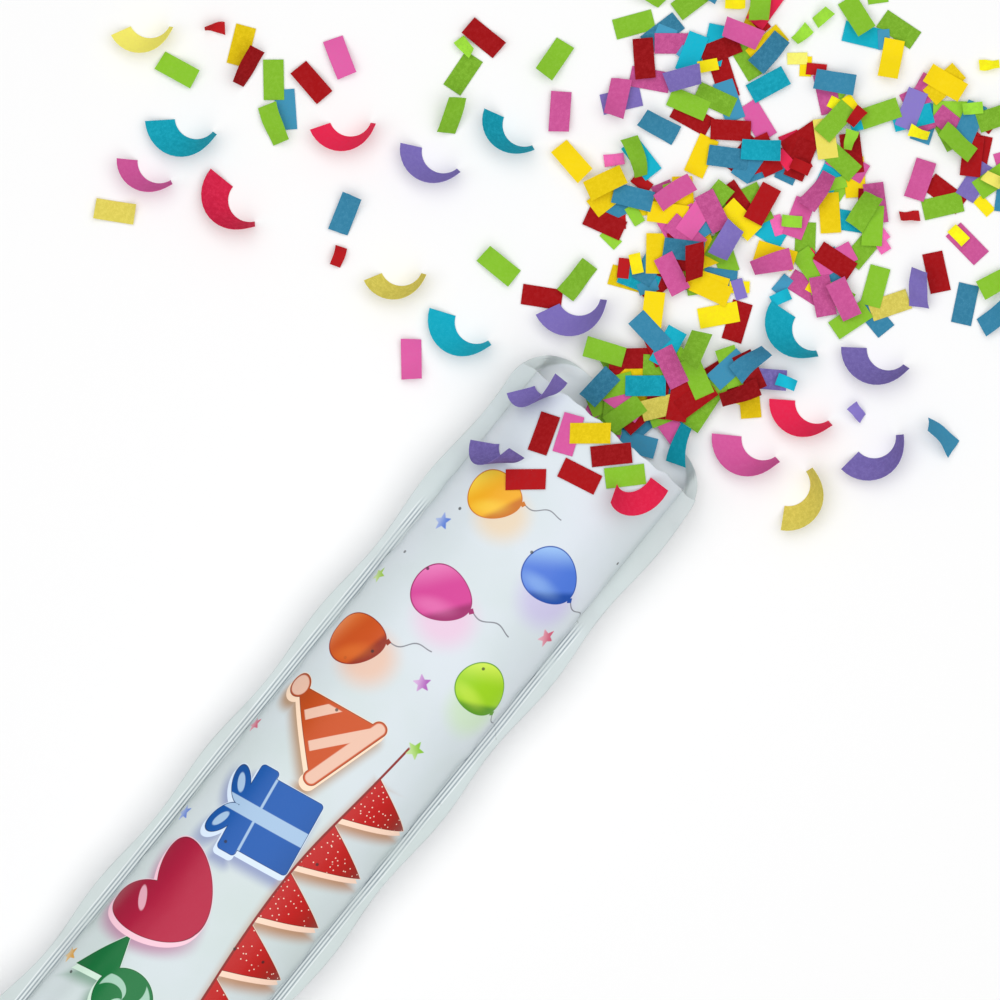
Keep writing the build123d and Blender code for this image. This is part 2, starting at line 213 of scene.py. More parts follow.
def row_places(end):
    """Places along the pouch for the rows of a film, closer together at its rounded corners."""
    low, high = BOTTOM + BOTTOM_CORNER, TOP - TOP_CORNER
    first = low - BOTTOM_CORNER * np.cos(np.linspace(0, np.pi / 2, BOTTOM_CORNER_ROWS))
    middle = np.linspace(low, high, round((high - low) / ROW_SPACING))[1:]
    last = high + TOP_CORNER * np.sin(np.linspace(0, np.pi / 2, TOP_CORNER_ROWS))[1:]
    return np.concatenate([first, middle, last[last < end - 1e-5], [end]])


def columns_of(*stretches):
    """Column values of a film, from stretches with a start, an end and a number of steps."""
    parts = [np.linspace(start, end, steps, endpoint=False) for start, end, steps in stretches]
    return np.concatenate([*parts, [stretches[-1][1]]])


def flat_grid(name, rows, columns):
    """A grid with one point for each row and column, and the row and column values of its points."""
    bpy.ops.object.select_all(action="DESELECT")
    bpy.ops.mesh.primitive_grid_add(x_subdivisions=len(rows) - 1, y_subdivisions=len(columns) - 1, size=2)
    grid = bpy.context.object
    grid.name = grid.data.name = name
    points = np.empty(len(grid.data.vertices) * 3, np.float32)
    grid.data.vertices.foreach_get("co", points)
    share = (points.reshape(-1, 3) + 1) / 2
    row = np.rint(share[:, 0] * (len(rows) - 1)).astype(int)
    column = np.rint(share[:, 1] * (len(columns) - 1)).astype(int)
    return grid, rows[row], columns[column]


def set_points(piece, x, y, z):
    """Puts each point of a grid in its place."""
    piece.data.vertices.foreach_set("co", np.stack([x, y, z], axis=1).astype(np.float32).ravel())
    piece.data.update()


def set_flat_map(piece, along, across):
    """Gives a film a map in millimetres of the flat sheet that it was cut from."""
    layer = piece.data.uv_layers[0]
    layer.name = "flat"
    corner = np.empty(len(piece.data.loops), np.int32)
    piece.data.loops.foreach_get("vertex_index", corner)
    places = np.stack([along[corner], across[corner]], axis=1) * 1000
    layer.data.foreach_set("uv", places.astype(np.float32).ravel())


def thicken(piece, wall, face_down=False):
    """Gives a film its thickness, inwards from the side that it faces, and smooth shading."""
    bpy.ops.object.select_all(action="DESELECT")
    piece.select_set(True)
    bpy.context.view_layer.objects.active = piece
    if face_down:
        bpy.ops.object.mode_set(mode="EDIT")
        bpy.ops.mesh.select_all(action="SELECT")
        bpy.ops.mesh.flip_normals()
        bpy.ops.object.mode_set(mode="OBJECT")
    bpy.ops.object.modifier_add(type="SOLIDIFY")
    piece.modifiers[-1].thickness = wall
    piece.modifiers[-1].offset = -1
    bpy.ops.object.modifier_apply(modifier=piece.modifiers[-1].name)
    bpy.ops.object.shade_smooth()


def arc_across(angle):
    """Length round the front film from its crown to an angle."""
    steps = np.linspace(0, np.pi / 2, 200)
    rise = CROWN - SEAM
    speed = np.hypot(HALF_CHORD * np.cos(steps), rise * np.sin(steps))
    length = np.concatenate([[0], np.cumsum((speed[1:] + speed[:-1]) / 2 * np.diff(steps))])
    return np.sign(angle) * np.interp(np.abs(angle), steps, length)


def front_film_height(x, y):
    """Height of the front film's outside over a point of the floor."""
    lift = FRONT_LIP_LIFT * np.clip((x - ROOT) / (FRONT_EDGE - ROOT), 0, 1)
    side = np.clip(np.abs(y) / HALF_CHORD, 0, 1)
    return SEAM + FILM + lift + (CROWN - SEAM - FILM - lift) * np.sqrt(1 - side**2)


film_columns = columns_of((-2, -1, FIN_COLUMNS), (-1, 1, ARCH_COLUMNS), (1, 2, FIN_COLUMNS))
front_film, x, column = flat_grid("front_film", row_places(FRONT_EDGE), film_columns)
side = np.sign(column)
fin = np.clip(np.abs(column) - 1, 0, 1)
angle = np.clip(column, -1, 1) * np.pi / 2
past_seal = (x - BOTTOM - BOTTOM_SEAL) / BOTTOM_TAPER
lip = smooth((x - ROOT) / (FRONT_EDGE - ROOT))
lift = FRONT_LIP_LIFT * lip
rise = (CROWN - SEAM - FILM) * np.sin(np.pi / 2 * np.clip(past_seal, 0, 1)) - lift
out_of_seam = fin * (half_width(x, side) - HALF_CHORD)
y = HALF_CHORD * np.sin(angle) + side * out_of_seam
z = SEAM + FILM + lift + rise * np.cos(angle) + fin_sway(x, side, fin)

# Creases: puckers along the side seams, pleats that run up from the bottom seal, a soft billow over the
# body, pressed lines in the fins and a fluttering, slightly ragged lip
up_y, up_z = rise * np.sin(angle), HALF_CHORD * np.cos(angle) + 1e-6
long = np.hypot(up_y, up_z)
from_seam = 1 - np.abs(np.clip(column, -1, 1))
pucker = np.exp(-from_seam / PUCKER_REACH) * side_ripples(PUCKERS, side, x) * (fin == 0)
from_end = np.clip(x - BOTTOM - BOTTOM_SEAL, 0, None)
pleat = from_end / PLEAT_REACH * np.exp(1 - from_end / PLEAT_REACH)
pleat = pleat * ripples(PLEATS, y + PLEAT_FAN * from_end * y) * smooth(from_seam * PLEAT_FADE)
billow = ripples(LEFT_BILLOW, x + LEFT_SLANT * y) + ripples(RIGHT_BILLOW, x + RIGHT_SLANT * y)
crease = smooth((CREASE_END - x) / CREASE_FADE) * smooth(past_seal)
push = np.where(fin > 0, 0, crease * (pucker + billow * smooth(from_seam * BILLOW_FADE)) + pleat)
y = y + push * up_y / long
z = z + push * up_z / long
pressed = sum(np.exp(-((out_of_seam - line) / PRESSED_WIDTH) ** 2) for line in PRESSED_LINES)
pressed = pressed * smooth((PRESSED_END - x) / PRESSED_FADE) * (x > BOTTOM + BOTTOM_SEAL)
z = z + (fin > 0) * pressed * PRESSED_RISE
fold = smooth(fin * FOLD_FADE) * np.exp(-((x - FIN_FOLD) / FOLD_WIDTH) ** 2)
z = z + (side < 0) * fold * FOLD_RISE
z = z - lip**2 * (LIP_DROOP + ripples(LIP_FLUTTER, y))
set_flat_map(front_film, x, arc_across(angle) + side * out_of_seam)
set_points(front_film, x + lip**3 * ripples(LIP_RAG, y), y, z)
thicken(front_film, FILM)


class Value:
    """What a node gives. Sums on it add nodes to the same tree."""

    def __init__(self, socket):
        self.socket = socket
        self.tree = socket.id_data

    def __add__(self, other):
        return calc("ADD", self, other)

    def __sub__(self, other):
        return calc("SUBTRACT", self, other)

    def __rsub__(self, other):
        return calc("SUBTRACT", other, self)

    def __mul__(self, other):
        return calc("MULTIPLY", self, other)

    def __truediv__(self, other):
        return calc("DIVIDE", self, other)

    def __abs__(self):
        return calc("ABSOLUTE", self)


def put(socket, value):
    """Links what a node gives to a socket, or sets the socket's own value."""
    if isinstance(value, Value):
        value.tree.links.new(value.socket, socket)
    else:
        socket.default_value = value


def calc(operation, *values):
    """The result of one sum on numbers and what nodes give."""
    tree = next(value.tree for value in values if isinstance(value, Value))
    step = tree.nodes.new("ShaderNodeMath")
    step.operation = operation
    for socket, value in zip(step.inputs, values):
        put(socket, value)
    return Value(step.outputs[0])


def larger(*values):
    """The largest of several values: the part that shapes share."""
    return functools.reduce(functools.partial(calc, "MAXIMUM"), values)


def smaller(*values):
    """The smallest of several values: shapes taken together."""
    return functools.reduce(functools.partial(calc, "MINIMUM"), values)


def fade(value, start, end):
    """0 at start and 1 at end, with soft ends."""
    step = value.tree.nodes.new("ShaderNodeMapRange")
    step.interpolation_type = "SMOOTHSTEP"
    put(step.inputs["Value"], value)
    put(step.inputs["From Min"], start)
    put(step.inputs["From Max"], end)
    return Value(step.outputs["Result"])


def over(share, under, colour):
    """One colour laid over another by a share."""
    step = share.tree.nodes.new("ShaderNodeMix")
    step.data_type = "RGBA"
    put(step.inputs[0], share)
    put(step.inputs[6], under)
    put(step.inputs[7], colour)
    return Value(step.outputs[2])


def speckle(place, scale, detail=2.0, rough=0.5):
    """Cloudy noise from 0 to 1."""
    step = place.tree.nodes.new("ShaderNodeTexNoise")
    put(step.inputs["Vector"], place)
    put(step.inputs["Scale"], scale)
    put(step.inputs["Detail"], detail)
    put(step.inputs["Roughness"], rough)
    return Value(step.outputs["Fac"])


def cells(place, scale):
    """Distance from scattered points, and a random value for each."""
    step = place.tree.nodes.new("ShaderNodeTexVoronoi")
    step.voronoi_dimensions = "2D"
    put(step.inputs["Vector"], place)
    put(step.inputs["Scale"], scale)
    apart = place.tree.nodes.new("ShaderNodeSeparateColor")
    put(apart.inputs[0], Value(step.outputs["Color"]))
    return Value(step.outputs["Distance"]), Value(apart.outputs[0])


def set_bump(shader, height, distance, strength=1.0):
    """Gives a surface fine relief."""
    bump = height.tree.nodes.new("ShaderNodeBump")
    put(bump.inputs["Strength"], strength)
    put(bump.inputs["Distance"], distance)
    put(bump.inputs["Height"], height)
    put(shader.inputs["Normal"], Value(bump.outputs["Normal"]))


# Print on the front film: party figures in five strong colours with pale raised edges, a red string of
# pennants, balloons, small stars and specks, all worked out from the film's flat map in millimetres.
# A figure's own shape is in shares of its size, with y up.
def turned(x, y, middle, turn, size):
    """A point's place in a figure's own frame, in figure sizes."""
    dx, dy = x - middle[0], y - middle[1]
    cos, sin = math.cos(turn) / size, math.sin(turn) / size
    return dx * cos + dy * sin, dy * cos - dx * sin


def length_of(x, y):
    """Distance from the middle of a figure."""
    return calc("SQRT", x * x + y * y)


def ellipse(x, y, middle, radii, turn=0.0):
    """How far outside a turned ellipse a point lies."""
    dx, dy = x - middle[0], y - middle[1]
    cos, sin = math.cos(turn), math.sin(turn)
    right = dx * (cos / radii[0]) + dy * (sin / radii[0])
    above = dy * (cos / radii[1]) - dx * (sin / radii[1])
    return (length_of(right, above) - 1) * min(radii)


def slab(x, y, middle, half, corner=0.08):
    """How far outside a box with soft corners a point lies."""
    dx = abs(x - middle[0]) - (half[0] - corner)
    dy = abs(y - middle[1]) - (half[1] - corner)
    return length_of(larger(dx, 0), larger(dy, 0)) + smaller(larger(dx, dy), 0) - corner


def folded(x, y, points):
    """A point's place in one half of a point of a star, and its distance from the middle."""
    around = calc("PINGPONG", calc("ARCTAN2", x, y), math.pi / points)
    far = length_of(x, y)
    return far * calc("SINE", around), far * calc("COSINE", around), far


NUMBER = "NodeSocketFloat"
COLOUR = "NodeSocketColor"
PLACE = "NodeSocketVector"


def made_once(given, results):
    """Makes a pattern's nodes once, in a group with these sockets, and places the group at each use."""
    def make(pattern):
        group = bpy.data.node_groups.new(pattern.__name__, "ShaderNodeTree")
        for way, sockets in (("INPUT", given), ("OUTPUT", results)):
            for name, kind in sockets.items():
                group.interface.new_socket(name=name, in_out=way, socket_type=kind)
        entry = group.nodes.new("NodeGroupInput").outputs
        ending = group.nodes.new("NodeGroupOutput").inputs
        for name, value in zip(results, pattern(*[Value(entry[name]) for name in given])):
            put(ending[name], value)

        def place(*values):
            tree = next(value.tree for value in values if isinstance(value, Value))
            step = tree.nodes.new("ShaderNodeGroup")
            step.node_tree = group
            for name, value in zip(given, values):
                put(step.inputs[name], value)
            return [Value(step.outputs[name]) for name in results]
        return place
    return make


figure_shape = made_once({"x": NUMBER, "y": NUMBER}, {"outside": NUMBER, "trim": NUMBER})


def star(x, y):
    """A star with five soft points."""
    right, above, far = folded(x, y, 5)
    inner = Vector((0.46 * math.sin(math.pi / 5), 0.46 * math.cos(math.pi / 5)))
    edge = (inner - Vector((0, 1))).normalized()
    return larger(right * -edge.y + (above - 1) * edge.x, far - 0.93)


@figure_shape
def heart(x, y):
    """A heart of two leaning lobes, and the pale gleam on one of them."""
    lobe = ellipse(abs(x), y, (0.37, 0.06), (0.98, 0.56), math.radians(58))
    gleam = ellipse(x, y, (-0.42, 0.42), (0.26, 0.09), math.radians(52))
    return lobe, fade(gleam, 0.01, -0.01)


@figure_shape
def gift(x, y):
    """A wrapped box with a lid and a bow, and its ribbon."""
    box = slab(x, y, (0, -0.32), (0.78, 0.58))
    lid = slab(x, y, (0, 0.36), (0.92, 0.2))
    loops = ellipse(abs(x), y, (0.36, 0.74), (0.4, 0.2), math.radians(28))
    ribbon = abs(x) - 0.15
    hem = abs(y - 0.14) - 0.025
    hole = ellipse(abs(x), y, (0.4, 0.76), (0.2, 0.08), math.radians(28))
    return smaller(box, lid, loops), fade(smaller(ribbon, hem, hole), 0.01, -0.01)


@figure_shape
def party_hat(x, y):
    """A paper cone with a rolled brim and a pompom, and its stripes."""
    slope = Vector((1.72, 0.82)).normalized()
    cone = larger(abs(x) * slope.x + (y - 0.9) * slope.y, -0.78 - y)
    brim = slab(x, y, (0, -0.8), (0.92, 0.15), 0.14)
    pompom = ellipse(x, y, (0, 0.86), (0.24, 0.24))
    wave = calc("SINE", (y + x * 0.45) * 9.5)
    stripes = fade(wave, 0.45, 0.6) * fade(cone, -0.06, -0.09)
    rims = fade(smaller(brim, pompom), -0.02, -0.05)
    return smaller(cone, brim, pompom), larger(stripes, rims)


@figure_shape
def sweet(x, y):
    """A round wrapped sweet with two fans of wrapper, and its swirl."""
    fan = abs(y) - (abs(x) - 0.38) * 0.85
    fan = larger(fan * 0.76, abs(x) - 1.16)
    ball = ellipse(x, y, (0, 0), (0.64, 0.64))
    swirl = calc("SINE", calc("ARCTAN2", x, y) * 3 + length_of(x, y) * 7)
    return smaller(fan, ball), fade(swirl, 0.55, 0.7) * fade(ball, -0.05, -0.08)


@figure_shape
def flower(x, y):
    """A flower of six round petals, and the pale ring in its middle."""
    right, above, far = folded(x, y, 6)
    petal = ellipse(right, above, (0, 0.62), (0.33, 0.38))
    return smaller(petal, far - 0.48), fade(abs(far - 0.2), 0.09, 0.07)


PENNANT_HEM = 0.55


def pennant(x, y):
    """A three-cornered flag that hangs from a string."""
    slope = Vector((1.5, 0.62)).normalized()
    return larger(abs(x) * slope.x - (y + 0.9) * slope.y, y - PENNANT_HEM)


# Edges of a printed figure in millimetres outside its face: soft shadow, raised side, dark line and face
SHADOW_EDGE = (3.2, -2.0)
SIDE_EDGE = (0.42, 0.22)
LINE_EDGE = (0.22, 0.06)
FACE_EDGE = (0.02, -0.14)
SHADOW_SHARE = 0.8


def with_shadow(colour, outside, size, shadow):
    """A colour with a figure's soft shadow printed over it."""
    return over(fade(outside * size, *SHADOW_EDGE) * SHADOW_SHARE, colour, srgb(*shadow))


def with_figure(colour, outside, side, trim, size, painted_shading, face, deep, trim_colour, side_colour):
    """A colour with a figure printed over it: pale raised side, dark line and face, the face painted towards
    its deep colour by a share of painted shading.
    """
    outside, side = outside * size, side * size
    colour = over(fade(smaller(side, outside), *SIDE_EDGE), colour, srgb(*side_colour))
    colour = over(fade(outside, *LINE_EDGE), colour, srgb(*deep))
    face = over(trim, over(painted_shading, srgb(*face), srgb(*deep)), srgb(*trim_colour))
    return over(fade(outside, *FACE_EDGE), colour, face)


STRING_GREY = (0.42, 0.42, 0.46)


def with_balloon(colour, x, y, face, deep, pale, shadow):
    """A colour with a balloon printed over it: soft shadow, thin curly string, knot and gleaming face."""
    body = ellipse(x / (y * 0.16 + 0.9), y, (0, 0), (1, 1.06))
    knot = abs(x) + abs(y + 1.13) - 0.1
    cast = ellipse(x, y, (-0.62, -0.5), (0.95, 1.0))
    colour = over(fade(cast, 0.45, -0.5) * 0.75, colour, srgb(*shadow))
    curl = calc("SINE", y * 5.2) * 0.1
    string = larger(abs(x - curl) - 0.012, abs(y + 1.9) - 0.75)
    colour = over(fade(string, 0.022, 0) * 0.85, colour, srgb(*STRING_GREY))
    light = x * 0.55 + y * 0.55
    skin = over(fade(light, 0.1, 1.0), srgb(*face), srgb(*pale))
    skin = over(fade(abs(light + 0.62), 0.3, 0.1), skin, srgb(*deep))
    glow = ellipse(x, y, (-0.5, 0.1), (0.3, 0.75), 0.3)
    skin = over(fade(glow, 0.15, -0.25) * 0.45, skin, srgb(*pale))
    colour = over(fade(smaller(body, knot), 0.035, 0.012), colour, srgb(*deep))
    return over(fade(body, 0.0, -0.03), colour, skin)


# Figures: shape, middle along and across the film, size, turn, and colours of face, raised side and shadow
FIGURES = [
    (flower, (-128, 15), 12.5, 12, (0.40, 0.08, 0.35), (0.93, 0.78, 0.90), (0.62, 0.42, 0.62)),
    (sweet, (-98, 7), 15.5, 62, (0.00, 0.46, 0.22), (0.84, 0.94, 0.87), (0.45, 0.62, 0.52)),
    (heart, (-64, 15), 16.5, -14, (0.72, 0.06, 0.24), (0.98, 0.80, 0.86), (0.72, 0.48, 0.62)),
    (gift, (-25, 8), 16.5, 10, (0.02, 0.35, 0.69), (0.86, 0.92, 0.99), (0.50, 0.55, 0.74)),
    (party_hat, (11, 14), 17.0, -16, (0.80, 0.31, 0.06), (1.0, 0.88, 0.77), (0.68, 0.48, 0.25)),
]
# Balloons: middle, size, turn, and colours of face, shaded side, gleam and shadow
BALLOONS = [
    ((101, 16), 8.6, 20, (0.95, 0.68, 0.08), (0.80, 0.45, 0.05), (1.0, 0.88, 0.30), (0.93, 0.82, 0.66)),
    ((92, -15), 9.4, -12, (0.30, 0.47, 0.85), (0.10, 0.30, 0.66), (0.62, 0.78, 0.96), (0.78, 0.74, 0.90)),
    ((66, 9), 9.6, 8, (0.83, 0.22, 0.58), (0.62, 0.08, 0.40), (0.94, 0.52, 0.76), (0.93, 0.76, 0.87)),
    ((50, -21), 8.8, -22, (0.62, 0.83, 0.10), (0.36, 0.60, 0.12), (0.85, 0.95, 0.35), (0.80, 0.90, 0.74)),
    ((38, 22), 9.4, 30, (0.80, 0.32, 0.08), (0.58, 0.16, 0.06), (0.92, 0.50, 0.20), (0.94, 0.74, 0.62)),
]
# Stars: middle, size, turn in radians and colour
STARS = [
    ((84, 25), 3.3, 0.2, (0.38, 0.52, 0.86)),
    ((76, -28), 3.4, 0.7, (0.83, 0.34, 0.46)),
    ((40, -4), 3.1, 0.4, (0.68, 0.36, 0.72)),
    ((22, -16), 3.3, 1.0, (0.55, 0.78, 0.20)),
    ((58, 32), 3.0, 0.9, (0.62, 0.80, 0.25)),
    ((-40, 33), 3.2, 0.3, (0.38, 0.52, 0.86)),
    ((-98, 33), 3.2, 0.6, (0.85, 0.62, 0.20)),
    ((-4, 34), 3.0, 0.5, (0.83, 0.34, 0.46)),
]
PENNANTS = (-134.0, 10.0)
PENNANT_PITCH = 20.5
PENNANT_SIZE = 14.5
PENNANT_ROW = -20.0
PENNANT_SAG = 2.6
SAG_LENGTH = 72
PENNANT_PAINTED_SHADE = (-17, -33)
PENNANT_PAINTED_SHADE_SHARE = 0.8
PENNANT_SHADOW = (0.72, 0.47, 0.24)
# Colours of a pennant's face, dark line (also the colour of its painted shade), glitter and raised side
PENNANT_COLOURS = ((0.76, 0.09, 0.08), (0.45, 0.13, 0.05), (0.98, 0.88, 0.80), (1.0, 0.86, 0.77))
GLITTER_CELLS = 0.55
CORD_SHIFT = 4
CORD_HALF = 80
CORD_RED = (0.55, 0.12, 0.10)
RAISED_SIDE = 1.8
CAST_SHADOW = 4.5
# Painted gloss streak on the figures' faces: its place across the film, its fade, and how far the faces are
# painted darker away from it
PAINTED_GLOSS_STREAK = 6
PAINTED_GLOSS_FADE = (3.0, 26.0)
PAINTED_GLOSS_SHARE = 0.45
SPECK_CELL = 19.0
SPECK_GREY = (0.13, 0.12, 0.12)


def film_print(flat, along, across, colour):
    """The film's colour with the print on it."""
    rows = (along, along + RAISED_SIDE, along + CAST_SHADOW)

    # Every figure's shadow lies under all the figures
    figures = []
    for shape, middle, size, turn, face, side_colour, shadow in FIGURES:
        front, side, cast = [shape(*turned(row, across, middle, math.radians(turn), size)) for row in rows]
        colour = with_shadow(colour, cast[0], size, shadow)
        figures.append((front, side, size, face, side_colour))

    # The string of pennants repeats one flag along the film and sags between its ends
    first, last = PENNANTS
    row = across - PENNANT_ROW + calc("SINE", along * (math.pi / SAG_LENGTH)) * PENNANT_SAG
    flags = []
    for start in rows:
        within = (calc("FRACT", (start - first) / PENNANT_PITCH) - 0.5) * (PENNANT_PITCH / PENNANT_SIZE)
        past_end = abs(start - (first + last) / 2) - (last - first) / 2
        flags.append(larger(pennant(within, row / PENNANT_SIZE), past_end / PENNANT_SIZE))
    glint, chance = cells(flat, GLITTER_CELLS)
    glitter = fade(glint, 0.16, 0.08) * fade(chance, 0.45, 0.55)
    # Painted shade: the pennants' faces are painted darker towards the fin beside them, where the film turns
    # away from the light
    painted_shading = fade(across, *PENNANT_PAINTED_SHADE) * PENNANT_PAINTED_SHADE_SHARE
    colour = with_shadow(colour, flags[2], PENNANT_SIZE, PENNANT_SHADOW)
    colour = with_figure(colour, flags[0], flags[1], glitter, PENNANT_SIZE, painted_shading, *PENNANT_COLOURS)
    cord = abs(row - PENNANT_SIZE * PENNANT_HEM)
    reach = abs(along - ((first + last) / 2 + CORD_SHIFT))
    colour = over(fade(cord, 0.5, 0.3) * fade(reach, CORD_HALF, CORD_HALF - 1), colour, srgb(*CORD_RED))

    # Painted highlight and shade: each figure's face keeps its own colour along a glossy streak across the
    # film and is painted darker away from it
    painted_shading = fade(abs(across - PAINTED_GLOSS_STREAK), *PAINTED_GLOSS_FADE) * PAINTED_GLOSS_SHARE
    for front, side, size, face, side_colour in figures:
        deep = [0.62 * part for part in face]
        pale = [0.35 * part + 0.65 for part in face]
        colour = with_figure(colour, front[0], side[0], front[1], size, painted_shading, face, deep, pale, side_colour)
    for middle, size, turn, *colours in BALLOONS:
        colour = with_balloon(colour, *turned(along, across, middle, math.radians(turn), size), *colours)
    for middle, size, turn, face in STARS:
        x, y = turned(along, across, middle, turn, size)
        pale = [0.5 * part + 0.5 for part in face]
        gleam = over(fade(y, -0.6, 0.8), srgb(*face), srgb(*pale))
        colour = over(fade(star(x, y), 0.07, -0.05), colour, gleam)
    dot, chance = cells(flat, 1 / SPECK_CELL)
    specks = fade(dot, 0.034, 0.022) * fade(chance, 0.62, 0.63)
    return over(specks * 0.8, colour, srgb(*SPECK_GREY))


PRINTED_TONES = ((0.81, 0.86, 0.855), (0.86, 0.89, 0.92))
PLAIN_TONES_PAINTED_LIGHTER = ((0.92, 0.95, 0.97), (0.94, 0.96, 0.98))
PAINTED_GLARE_TO_MOUTH = (-60, 100)
FIN_SHADED_TONE = (0.77, 0.81, 0.805)
FIN_EDGE = (-1.2, 0.4)
FIN_SHARE = 0.75
# Noise scales to a millimetre: pearly clouds, wavering and broken lines, gloss and fine surface
CLOUD_SCALE = 0.03
WAVER_SCALE = 0.02
BREAK_SCALE = 0.06
GLOSS_SCALE = 0.25
SURFACE_SCALE = 0.09
SEAM_ACROSS = float(arc_across(np.array(np.pi / 2)))
# Painted highlight and painted shade lines along the fins' pressed creases: places out from the seam,
# strength and colour
PAINTED_HIGHLIGHT_LINES = ((-0.1, 1.0, 2.05, 3.2), 0.7, (0.95, 0.97, 0.98))
PAINTED_SHADE_LINES = ((-0.6, 0.5, 1.5, 2.6), 0.75, (0.46, 0.51, 0.57))
LINE_HALF = (0.26, 0.05)
LINE_WAVER = 0.9
LINE_END = 8
LINE_DEPTH = -0.6


def along_across(flat):
    """A place on the flat film, along it and across it."""
    split = flat.tree.nodes.new("ShaderNodeSeparateXYZ")
    put(split.inputs[0], flat)
    return Value(split.outputs[0]), Value(split.outputs[1])


@made_once({"flat": PLACE}, {"cloud": NUMBER})
def pearly_cloud(flat):
    """The film's pearly clouding."""
    return [fade(speckle(flat, CLOUD_SCALE, 3), 0.3, 0.7)]


@made_once({"flat": PLACE, "under": COLOUR}, {"colour": COLOUR, "roughness": NUMBER, "height": NUMBER})
def film_surface(flat, under):
    """A film's colour with its fins painted greyer as painted shade and painted highlight and shade lines
    along their pressed creases, its gloss, and its fine relief, dented along the dark lines.
    """
    along, across = along_across(flat)
    from_seam = abs(across) - SEAM_ACROSS * 1000
    # Painted shade: the fins are painted greyer, for the shadow that shows through their thin film
    colour = over(fade(from_seam, *FIN_EDGE) * FIN_SHARE, under, srgb(*FIN_SHADED_TONE))
    lined = from_seam + (speckle(flat, WAVER_SCALE, 1) - 0.5) * LINE_WAVER
    broken = fade(speckle(flat, BREAK_SCALE, 2), 0.2, 0.5)
    shown = broken * fade(along, PRESSED_END * 1000, PRESSED_END * 1000 - LINE_END)
    # Painted highlights and painted shade along the pressed creases; the dark lines, drawn last, also dent
    # the relief
    for places, share, tone in (PAINTED_HIGHLIGHT_LINES, PAINTED_SHADE_LINES):
        lines = larger(*[fade(abs(lined - line), *LINE_HALF) for line in places]) * shown
        colour = over(lines * share, colour, srgb(*tone))
    roughness = speckle(flat, GLOSS_SCALE, 3) * 0.16 + 0.27
    return colour, roughness, speckle(flat, SURFACE_SCALE, 4, 0.55) + lines * LINE_DEPTH


def film_material(name, printed):
    """Glossy white film with a pearly cast, its fins painted greyer with painted highlight and shade lines
    along their pressed creases, and, in front, the print on film painted lighter towards the mouth; the
    plain back film is painted lighter all over.
    """
    material, tree, shader = new_material(
        name, Specular_IOR_Level=0.35, Coat_Weight=0.08, Coat_Roughness=0.2, IOR=1.45
    )
    map_node = tree.nodes.new("ShaderNodeUVMap")
    map_node.uv_map = "flat"
    flat = Value(map_node.outputs[0])
    cloud = pearly_cloud(flat)[0]
    if printed:
        along, across = along_across(flat)
        # Painted highlight: the film's colour is painted lighter towards the mouth, mixed with its pearly
        # clouding
        tone = (cloud + fade(along, *PAINTED_GLARE_TO_MOUTH)) * 0.5
        colour = over(tone, *[srgb(*each) for each in PRINTED_TONES])
        colour = film_print(flat, along, across, colour)
    else:
        # Painted light: the plain back film is painted lighter than the printed film's tones, to offset the
        # shade that it lies in
        colour = over(cloud, *[srgb(*each) for each in PLAIN_TONES_PAINTED_LIGHTER])
    colour, roughness, height = film_surface(flat, colour)
    put(shader.inputs["Base Color"], colour)
    put(shader.inputs["Roughness"], roughness)
    set_bump(shader, height, 0.0004, 0.25)
    return material


front_film.data.materials.append(film_material("printed_film", True))
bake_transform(front_film)
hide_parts("front_panel", "front_lip")

# Back film: the plain white back of the pouch, with the same fins, which hangs from them to the flat
# strip that the pouch lies on. Its burst end, the back lip, lies out flat with its seal band showing.
BACK_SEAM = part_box("back_panel")[1].z
BACK_LIP_SEAM = 0.006
STRIP = 0.013
LIP_STRIP = 0.020
SIDE_BULGE = 1.11
STRIP_ARC = np.hypot(HALF_CHORD - STRIP, BACK_SEAM) * SIDE_BULGE
SEAL_GAP = 0.00005
SIDE_COLUMNS = 26
STRIP_COLUMNS = 16
STRIP_COLUMN = 0.001
BACK_PUCKERS = (81, (0.0121, 0.0079), 0.0007)
BACK_PUCKER_REACH = 0.1
BACK_CALM = 0.02
BACK_PLEATS = (52, (0.0117, 0.0167, 0.0083), 0.0008)
BACK_PLEAT_END = 0.048
BACK_PLEAT_FADE = 0.02
SEAL_BAND = 0.0045
BAND_RISE = 0.0006
BAND_EDGE = 0.0012
BAND_START = 0.007
BAND_FADE = 0.008
EDGE_REACH = 0.004
EDGE_RISE = 0.0007
EDGE_FLUTTER = (91, (0.027, 0.017), 0.0005)
FLUTTER_FADE = 0.02
LOADED_HALF = 0.015
LOADED_FADE = 0.007
back_columns = columns_of(
    (-2, -1, FIN_COLUMNS),
    (-1, -STRIP_COLUMN, SIDE_COLUMNS),
    (-STRIP_COLUMN, STRIP_COLUMN, STRIP_COLUMNS),
    (STRIP_COLUMN, 1, SIDE_COLUMNS),
    (1, 2, FIN_COLUMNS),
)
back_film, x, column = flat_grid("back_film", row_places(TOP), back_columns)
side = np.sign(column)
fin = np.clip(np.abs(column) - 1, 0, 1)
turn = np.clip((np.abs(column) - STRIP_COLUMN) / (1 - STRIP_COLUMN), 0, 1) * np.pi / 2
on_strip = np.clip(np.abs(column) / STRIP_COLUMN, 0, 1)
opened = smooth((x - ROOT) / (TOP - ROOT))
seam = BACK_SEAM + (BACK_LIP_SEAM - BACK_SEAM) * opened
strip = STRIP + (LIP_STRIP - STRIP) * opened
drop = (seam - FILM) * np.sin(np.pi / 2 * np.clip((x - BOTTOM - BOTTOM_SEAL) / BOTTOM_TAPER, 0, 1))
edge = half_width(x, side)
uncut = np.maximum(half_width(np.minimum(x, TOP - TOP_CORNER), side), HALF_CHORD)
across = strip * on_strip + (HALF_CHORD - strip) * np.sin(turn) + fin * (uncut - HALF_CHORD)
